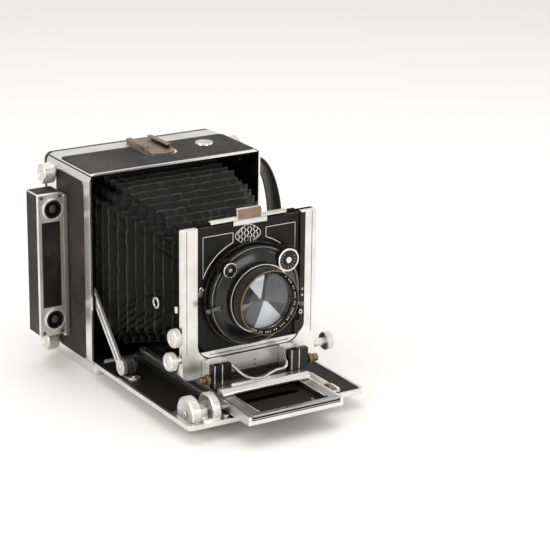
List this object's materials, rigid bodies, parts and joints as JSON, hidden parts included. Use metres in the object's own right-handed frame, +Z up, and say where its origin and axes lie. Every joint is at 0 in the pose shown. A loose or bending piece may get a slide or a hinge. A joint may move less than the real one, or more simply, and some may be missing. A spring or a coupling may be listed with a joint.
{
  "type": "press camera",
  "caption": "Folding plate camera opened for use: a leather-covered box, a drop bed with sliding tracks, a tapered bellows, and a U-shaped standard that carries a leaf-shutter lens.",
  "frame": {"origin": "centre of the base block's underside, under the middle of the body", "axes": "+Z up, +Y towards the back of the camera, +X to the right of someone who faces the lens"},
  "size_m": [0.226, 0.297, 0.1865],
  "materials": {
    "satin_metal": "satin",
    "nickel_trim": "polished nickel",
    "worn_brass": "worn",
    "black_leather": "pebble grain",
    "bellows_leather": "smooth, folded",
    "black_metal": "semi-gloss black",
    "steel_slides": "brushed",
    "lens_glass": "polished"
  },
  "bodies": {
    "camera_body": {"body_shell": "satin_metal", "top_leather": "black_leather", "left_leather": "black_leather", "right_leather": "black_leather", "base_block": "satin_metal", "accessory_shoe": "worn_brass", "hand_strap": "black_leather", "rangefinder_rail": "satin_metal", "rangefinder_case": "black_leather", "rangefinder_front": "satin_metal", "lower_window": "lens_glass", "upper_window": "lens_glass", "eyepiece": "black_metal", "bellows": "bellows_leather", "bed_hinge_pin": "steel_slides"},
    "release_button_body": {"release_button": "nickel_trim"},
    "upper_left_back_knob_body": {"upper_left_back_knob": "satin_metal"},
    "lower_left_back_knob_body": {"lower_left_back_knob": "satin_metal"},
    "upper_right_back_knob_body": {"upper_right_back_knob": "satin_metal"},
    "lower_right_back_knob_body": {"lower_right_back_knob": "satin_metal"},
    "bed": {"bed_plate": "satin_metal", "bed_foot": "satin_metal", "track_guides": "black_metal", "left_strut_hub": "black_metal", "right_strut_hub": "black_metal", "infinity_stop": "steel_slides"},
    "left_strut_body": {"left_strut": "satin_metal"},
    "right_strut_body": {"right_strut": "satin_metal"},
    "focus_drive": {"focus_wheel": "satin_metal", "focus_shaft": "steel_slides"},
    "track_lock": {"track_lock_wheel": "satin_metal"},
    "focus_track": {"lower_track": "black_metal"},
    "extension_track": {"upper_track": "steel_slides"},
    "standard_carriage": {"carriage": "satin_metal", "left_clamp": "black_metal", "right_clamp": "black_metal"},
    "bail_body": {"bail": "nickel_trim"},
    "left_clamp_screw_body": {"left_clamp_screw": "worn_brass"},
    "right_clamp_screw_body": {"right_clamp_screw": "worn_brass"},
    "standard_frame": {"u_frame": "satin_metal"},
    "rise_knob_body": {"rise_knob": "satin_metal"},
    "shift_lock_knob_body": {"shift_lock_knob": "satin_metal"},
    "side_lock_knob_body": {"side_lock_knob": "satin_metal"},
    "panel_and_lens": {"lens_panel": "satin_metal", "lens_board": "black_metal", "shutter_case": "black_metal", "front_barrel": "black_metal", "front_glass": "lens_glass", "rear_barrel": "black_metal"},
    "board_catch_body": {"board_catch": "nickel_trim"},
    "speed_dial_body": {"speed_dial": "nickel_trim"},
    "mode_dial_body": {"mode_dial": "black_metal"},
    "cocking_lever_body": {"cocking_lever": "nickel_trim"},
    "release_lever_body": {"release_lever": "nickel_trim"},
    "aperture": {"aperture_ring": "satin_metal", "iris": "steel_slides"},
    "back_frame": {"back_carriage": "black_metal"},
    "turning_back": {"revolving_back": "black_metal", "ground_glass": "lens_glass"},
    "hood": {"focusing_hood": "black_leather"}
  },
  "joints": [
    {"name": "bed_drop", "type": "hinge", "parent": "camera_body", "child": "bed", "pos_m": [0, -0.043, 0.0135], "axis": [1, 0, 0], "range_deg": [0, 15]},
    {"name": "left_strut_swing", "type": "hinge", "parent": "bed", "child": "left_strut_body", "pos_m": [-0.079, -0.085, 0.024], "axis": [1, 0, 0], "range_deg": [-15, 0]},
    {"name": "right_strut_swing", "type": "hinge", "parent": "bed", "child": "right_strut_body", "pos_m": [0.079, -0.085, 0.024], "axis": [1, 0, 0], "range_deg": [-15, 0]},
    {"name": "focus_slide", "type": "slide", "parent": "bed", "child": "focus_track", "axis": [0, -1, 0], "range_m": [-0.01, 0.045], "deforming": ["bellows"]},
    {"name": "focus_wheel_turn", "type": "hinge", "parent": "bed", "child": "focus_drive", "pos_m": [-0.06, -0.19, 0.018], "axis": [1, 0, 0], "range_deg": [-130, 575]},
    {"name": "track_lock_turn", "type": "hinge", "parent": "bed", "child": "track_lock", "pos_m": [-0.05375, -0.19, 0.018], "axis": [1, 0, 0], "range_deg": [0, 90]},
    {"name": "upper_extension", "type": "slide", "parent": "focus_track", "child": "extension_track", "axis": [0, -1, 0], "range_m": [0, 0.05]},
    {"name": "standard_slide", "type": "slide", "parent": "extension_track", "child": "standard_carriage", "axis": [0, -1, 0], "range_m": [-0.025, 0.03]},
    {"name": "bail_swing", "type": "hinge", "parent": "standard_carriage", "child": "bail_body", "pos_m": [0, -0.174, 0.0465], "axis": [-1, 0, 0], "range_deg": [0, 70]},
    {"name": "left_clamp_screw_turn", "type": "hinge", "parent": "standard_carriage", "child": "left_clamp_screw_body", "pos_m": [-0.05, -0.178, 0.0384], "axis": [1, 0, 0], "range_deg": [0, 60]},
    {"name": "right_clamp_screw_turn", "type": "hinge", "parent": "standard_carriage", "child": "right_clamp_screw_body", "pos_m": [0.05, -0.178, 0.0384], "axis": [1, 0, 0], "range_deg": [0, 60]},
    {"name": "front_shift", "type": "slide", "parent": "standard_carriage", "child": "standard_frame", "axis": [1, 0, 0], "range_m": [-0.02, 0.02]},
    {"name": "front_rise", "type": "slide", "parent": "standard_frame", "child": "panel_and_lens", "axis": [0, 0, 1], "range_m": [0, 0.03]},
    {"name": "rise_knob_turn", "type": "hinge", "parent": "standard_frame", "child": "rise_knob_body", "pos_m": [-0.068, -0.1595, 0.072], "axis": [1, 0, 0], "range_deg": [-1, 345]},
    {"name": "shift_lock_turn", "type": "hinge", "parent": "standard_frame", "child": "shift_lock_knob_body", "pos_m": [-0.072, -0.1595, 0.0524], "axis": [1, 0, 0], "range_deg": [0, 90]},
    {"name": "side_lock_turn", "type": "hinge", "parent": "standard_frame", "child": "side_lock_knob_body", "pos_m": [0.078, -0.1595, 0.043], "axis": [1, 0, 0], "range_deg": [0, 90]},
    {"name": "board_catch_slide", "type": "slide", "parent": "panel_and_lens", "child": "board_catch_body", "axis": [0, 0, 1], "range_m": [0, 0.004]},
    {"name": "speed_dial_turn", "type": "hinge", "parent": "panel_and_lens", "child": "speed_dial_body", "pos_m": [0.0285, -0.175, 0.128], "axis": [0, -1, 0], "range_deg": [0, 270]},
    {"name": "mode_dial_turn", "type": "hinge", "parent": "panel_and_lens", "child": "mode_dial_body", "pos_m": [-0.0268, -0.175, 0.128], "axis": [0, -1, 0], "range_deg": [0, 90]},
    {"name": "cocking_lever_swing", "type": "hinge", "parent": "panel_and_lens", "child": "cocking_lever_body", "pos_m": [0.03376, -0.1735, 0.09003], "axis": [0, -1, 0], "range_deg": [0, 30]},
    {"name": "release_lever_swing", "type": "hinge", "parent": "panel_and_lens", "child": "release_lever_body", "pos_m": [-0.03524, -0.1735, 0.09667], "axis": [0, -1, 0], "range_deg": [0, 15], "stiffness_Nm_per_rad": 0.02},
    {"name": "aperture_turn", "type": "hinge", "parent": "panel_and_lens", "child": "aperture", "pos_m": [0, -0.165, 0.101], "axis": [0, -1, 0], "range_deg": [-30, 30]},
    {"name": "back_extension", "type": "slide", "parent": "camera_body", "child": "back_frame", "axis": [0, 1, 0], "range_m": [0, 0.03]},
    {"name": "back_rotation", "type": "hinge", "parent": "back_frame", "child": "turning_back", "pos_m": [0, 0.045, 0.096], "axis": [0, 1, 0], "range_deg": [0, 90]},
    {"name": "hood_lift", "type": "hinge", "parent": "turning_back", "child": "hood", "pos_m": [0, 0.0525, 0.1475], "axis": [1, 0, 0], "range_deg": [0, 95]},
    {"name": "release_button_press", "type": "slide", "parent": "camera_body", "child": "release_button_body", "axis": [0, 0, -1], "range_m": [0, 0.002], "stiffness_N_per_m": 400},
    {"name": "upper_left_back_knob_turn", "type": "hinge", "parent": "camera_body", "child": "upper_left_back_knob_body", "pos_m": [-0.092, 0.024, 0.169], "axis": [1, 0, 0], "range_deg": [0, 90]},
    {"name": "upper_right_back_knob_turn", "type": "hinge", "parent": "camera_body", "child": "upper_right_back_knob_body", "pos_m": [0.092, 0.024, 0.169], "axis": [1, 0, 0], "range_deg": [0, 90]},
    {"name": "lower_left_back_knob_turn", "type": "hinge", "parent": "camera_body", "child": "lower_left_back_knob_body", "pos_m": [-0.092, 0.024, 0.0165], "axis": [1, 0, 0], "range_deg": [0, 90]},
    {"name": "lower_right_back_knob_turn", "type": "hinge", "parent": "camera_body", "child": "lower_right_back_knob_body", "pos_m": [0.092, 0.024, 0.0165], "axis": [1, 0, 0], "range_deg": [0, 90]}
  ],
  "couplings": [
    {"joint": "left_strut_swing", "follows": "bed_drop", "ratio": -1},
    {"joint": "right_strut_swing", "follows": "bed_drop", "ratio": -1},
    {"joint": "focus_wheel_turn", "follows": "focus_slide", "rad_per_m": 222.22},
    {"joint": "rise_knob_turn", "follows": "front_rise", "rad_per_m": 200}
  ]
}
